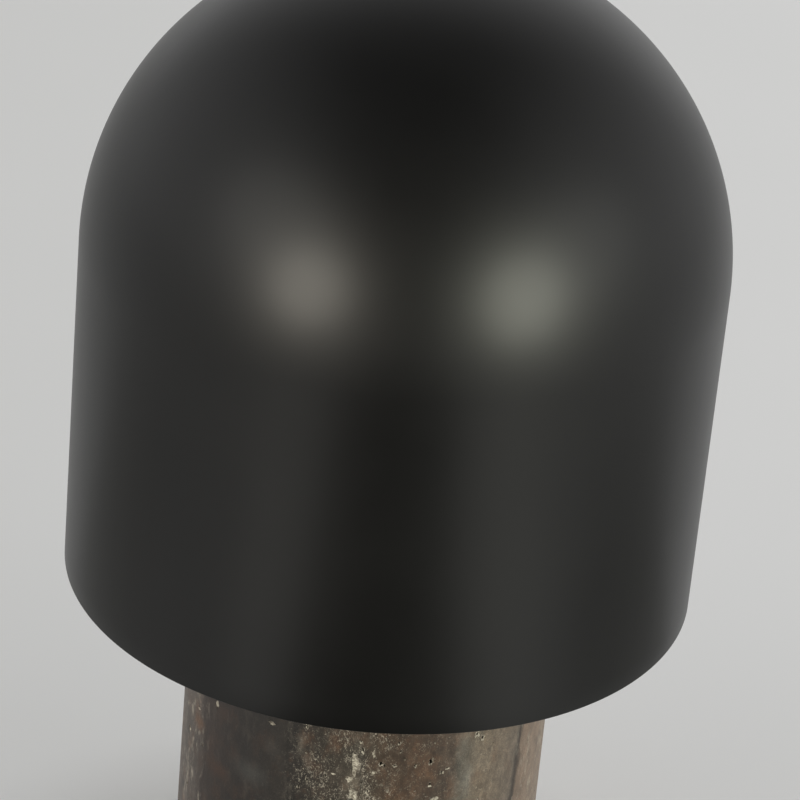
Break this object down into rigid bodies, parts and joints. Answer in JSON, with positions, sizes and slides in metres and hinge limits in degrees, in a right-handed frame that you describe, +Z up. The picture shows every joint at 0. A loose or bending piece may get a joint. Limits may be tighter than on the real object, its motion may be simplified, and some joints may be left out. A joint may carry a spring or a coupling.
{
  "type": "table lamp",
  "caption": "Table lamp with a deep domed metal shade over a cylindrical stone base; the shade hangs on an inner harp, turns and lifts off, and a knob works the switch.",
  "frame": {"origin": "middle of the lamp's underside, on the table", "axes": "+Z up the lamp's axis, -Y towards the front and the switch knob, +Y towards the cord inlet, +X to the right seen from the front"},
  "size_m": [0.254, 0.254, 0.4],
  "materials": {
    "travertine": "matte",
    "felt": "matte",
    "zinc_plate": "satin",
    "steel_fixings": "satin",
    "satin_nickel": "satin",
    "harp_wire": "satin",
    "brass_fittings": "satin",
    "contact_brass": "satin",
    "black_nylon": "matte",
    "white_plastic": "satin",
    "black_insulation": "matte",
    "white_insulation": "matte",
    "phenolic": "satin",
    "liner_card": "matte",
    "knob_plastic": "gloss",
    "shade_coat": "satin",
    "white_enamel": "satin",
    "frosted_glass": "matte",
    "clear_glass": "gloss",
    "bulb_aluminium": "satin",
    "bulb_insulator_glaze": "gloss"
  },
  "bodies": {
    "base": {"stone_base": "travertine", "felt_pad": "felt", "bottom_plate": "zinc_plate", "plate_screws": "steel_fixings", "screw_anchors": "brass_fittings", "cord_bushing": "black_nylon", "lamp_pipe": "zinc_plate", "recess_washer": "steel_fixings", "lock_washer": "steel_fixings", "pipe_nut": "steel_fixings", "seat_ring": "satin_nickel", "saddle_nut": "satin_nickel", "harp_saddle": "satin_nickel", "terminal_block": "white_plastic", "terminal_inserts": "brass_fittings", "clamp_screws": "steel_fixings", "block_screw": "steel_fixings", "live_lead": "black_insulation", "neutral_lead": "white_insulation", "socket_cap": "satin_nickel", "cap_set_screw": "steel_fixings", "socket_body": "phenolic", "terminal_screws": "brass_fittings", "screw_shell": "contact_brass", "centre_contact": "contact_brass", "insulating_liner": "liner_card", "socket_shell": "satin_nickel"},
    "harp_frame": {"harp": "harp_wire"},
    "sleeve_right": {"harp_sleeve_right": "satin_nickel"},
    "sleeve_left": {"harp_sleeve_left": "satin_nickel"},
    "swivel": {"swivel_stud": "brass_fittings", "stud_clip": "steel_fixings"},
    "shade": {"shade_shell": "shade_coat", "shade_spider": "white_enamel", "shade_hub": "white_enamel", "hub_bush": "white_plastic"},
    "bulb": {"bulb_glass": "frosted_glass", "bulb_cap": "bulb_aluminium", "bulb_insulator": "bulb_insulator_glaze", "bulb_contact": "contact_brass", "bulb_stem": "clear_glass"},
    "switch": {"switch_spindle": "brass_fittings", "switch_knob": "knob_plastic"}
  },
  "joints": [
    {"name": "harp_lift", "type": "slide", "parent": "base", "child": "harp_frame", "axis": [0, 0, 1], "range_m": [0, 0.016]},
    {"name": "sleeve_right_slide", "type": "slide", "parent": "harp_frame", "child": "sleeve_right", "axis": [0, 0, 1], "range_m": [0, 0.014]},
    {"name": "sleeve_left_slide", "type": "slide", "parent": "harp_frame", "child": "sleeve_left", "axis": [0, 0, 1], "range_m": [0, 0.014]},
    {"name": "shade_turn", "type": "hinge", "parent": "harp_frame", "child": "swivel", "pos_m": [0, 0, 0.371], "axis": [0, 0, 1], "continuous": true},
    {"name": "shade_lift", "type": "slide", "parent": "swivel", "child": "shade", "axis": [0, 0, 1], "range_m": [0, 0.26]},
    {"name": "bulb_lift", "type": "slide", "parent": "base", "child": "bulb", "axis": [0, 0, 1], "range_m": [0, 0.027]},
    {"name": "knob_turn", "type": "hinge", "parent": "base", "child": "switch", "pos_m": [0, -0.025, 0.215], "axis": [0, -1, 0], "continuous": true}
  ]
}
